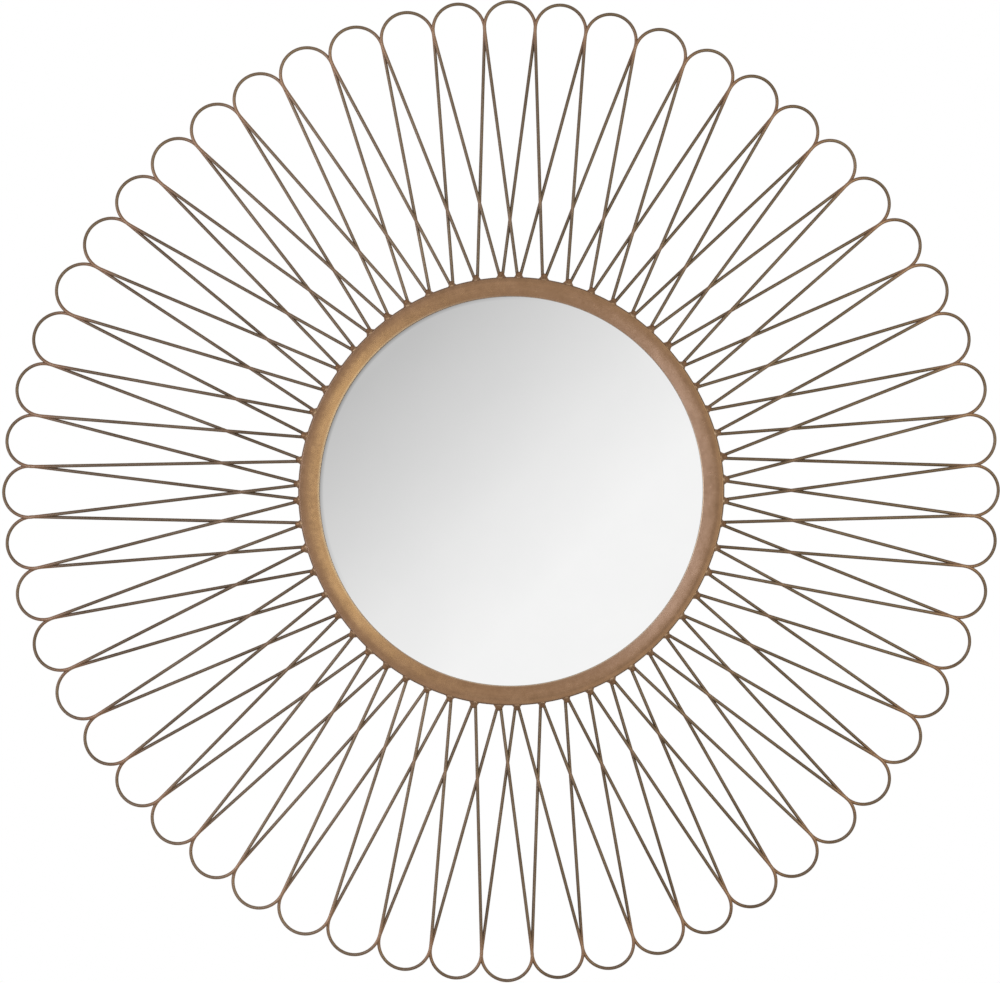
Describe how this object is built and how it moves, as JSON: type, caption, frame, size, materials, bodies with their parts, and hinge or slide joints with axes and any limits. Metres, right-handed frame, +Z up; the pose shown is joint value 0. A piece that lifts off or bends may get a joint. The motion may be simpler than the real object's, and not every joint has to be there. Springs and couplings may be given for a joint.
{
  "type": "wall mirror",
  "caption": "Round wall mirror in a bronze metal ring, with a sunburst of crossed bent-wire petals welded round the rim; hangs flat on a wall by a keyhole plate.",
  "frame": {"origin": "centre of the mirror's back, on the wall plane", "axes": "+Z up, +Y into the wall, the mirror faces -Y"},
  "size_m": [0.9152, 0.02, 0.9008],
  "materials": {
    "ring_bronze": "antique bronze over pressed steel, satin, lightly mottled",
    "wire_bronze": "dark antique bronze over round steel wire, satin",
    "mirror": "silvered flat glass",
    "board": "raw fibreboard",
    "hanger_steel": "zinc-plated"
  },
  "bodies": {
    "root": {"frame_ring": "ring_bronze", "mirror_glass": "mirror", "backing_board": "board", "hanger_plate": "hanger_steel", "petal_01": "wire_bronze", "petal_02": "wire_bronze", "petal_03": "wire_bronze", "petal_04": "wire_bronze", "petal_05": "wire_bronze", "petal_06": "wire_bronze", "petal_07": "wire_bronze", "petal_08": "wire_bronze", "petal_09": "wire_bronze", "petal_10": "wire_bronze", "petal_11": "wire_bronze", "petal_12": "wire_bronze", "petal_13": "wire_bronze", "petal_14": "wire_bronze", "petal_15": "wire_bronze", "petal_16": "wire_bronze", "petal_17": "wire_bronze", "petal_18": "wire_bronze", "petal_19": "wire_bronze", "petal_20": "wire_bronze", "petal_21": "wire_bronze", "petal_22": "wire_bronze", "petal_23": "wire_bronze", "petal_24": "wire_bronze", "petal_25": "wire_bronze", "petal_26": "wire_bronze", "petal_27": "wire_bronze", "petal_28": "wire_bronze", "petal_29": "wire_bronze", "petal_30": "wire_bronze", "petal_31": "wire_bronze", "petal_32": "wire_bronze", "petal_33": "wire_bronze", "petal_34": "wire_bronze", "petal_35": "wire_bronze", "petal_36": "wire_bronze", "petal_37": "wire_bronze", "petal_38": "wire_bronze", "petal_39": "wire_bronze", "petal_40": "wire_bronze", "petal_41": "wire_bronze", "petal_42": "wire_bronze", "petal_43": "wire_bronze", "petal_44": "wire_bronze", "petal_45": "wire_bronze", "petal_46": "wire_bronze", "petal_47": "wire_bronze", "petal_48": "wire_bronze", "petal_49": "wire_bronze", "petal_50": "wire_bronze", "petal_51": "wire_bronze", "petal_52": "wire_bronze", "petal_53": "wire_bronze", "petal_54": "wire_bronze", "petal_55": "wire_bronze", "petal_56": "wire_bronze"}
  },
  "joints": []
}
